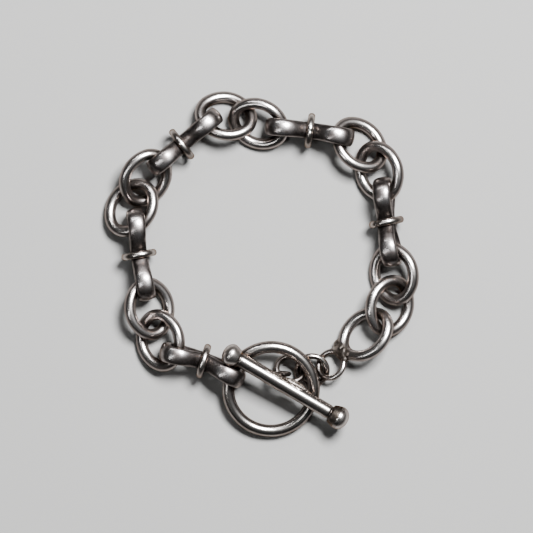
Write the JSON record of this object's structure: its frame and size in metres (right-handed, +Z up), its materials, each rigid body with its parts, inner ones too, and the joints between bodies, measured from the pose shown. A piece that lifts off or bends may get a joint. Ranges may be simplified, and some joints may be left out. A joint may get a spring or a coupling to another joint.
{
  "type": "link bracelet",
  "caption": "Heavy oxidised silver link bracelet of pinched band links with collar rings, joined by pairs of round-wire oval links, closed with a toggle clasp, lying flat as a closed loop.",
  "frame": {"origin": "middle of the laid bracelet, on the surface that it rests on", "axes": "+Z up off the surface, +Y the longer way across the laid loop, with the toggle clasp at its -Y side"},
  "size_m": [0.0732, 0.0805, 0.0113],
  "materials": {
    "band_silver": "oxidised silver, worn bright on its crown and dark towards its edges",
    "link_silver": "oxidised silver, polished on its high spots with dark patina in its crevices",
    "collar_silver": "oxidised silver with a solder seam",
    "clasp_silver": "oxidised silver, polished on its high spots, with rough solder at its joints"
  },
  "bodies": {
    "root": {"band_link_a": "band_silver", "band_link_b": "band_silver", "band_link_c": "band_silver", "band_link_d": "band_silver", "band_link_e": "band_silver", "collar_ring_a": "collar_silver", "collar_ring_b": "collar_silver", "collar_ring_c": "collar_silver", "collar_ring_d": "collar_silver", "collar_ring_e": "collar_silver", "oval_link_1a": "link_silver", "oval_link_1b": "link_silver", "oval_link_2a": "link_silver", "oval_link_2b": "link_silver", "oval_link_3a": "link_silver", "oval_link_3b": "link_silver", "oval_link_4a": "link_silver", "oval_link_4b": "link_silver", "oval_link_5a": "link_silver", "oval_link_5b": "link_silver", "end_link": "link_silver", "jump_ring_1": "clasp_silver", "jump_ring_2": "clasp_silver", "toggle_bar": "clasp_silver", "toggle_ring": "clasp_silver"}
  },
  "joints": []
}
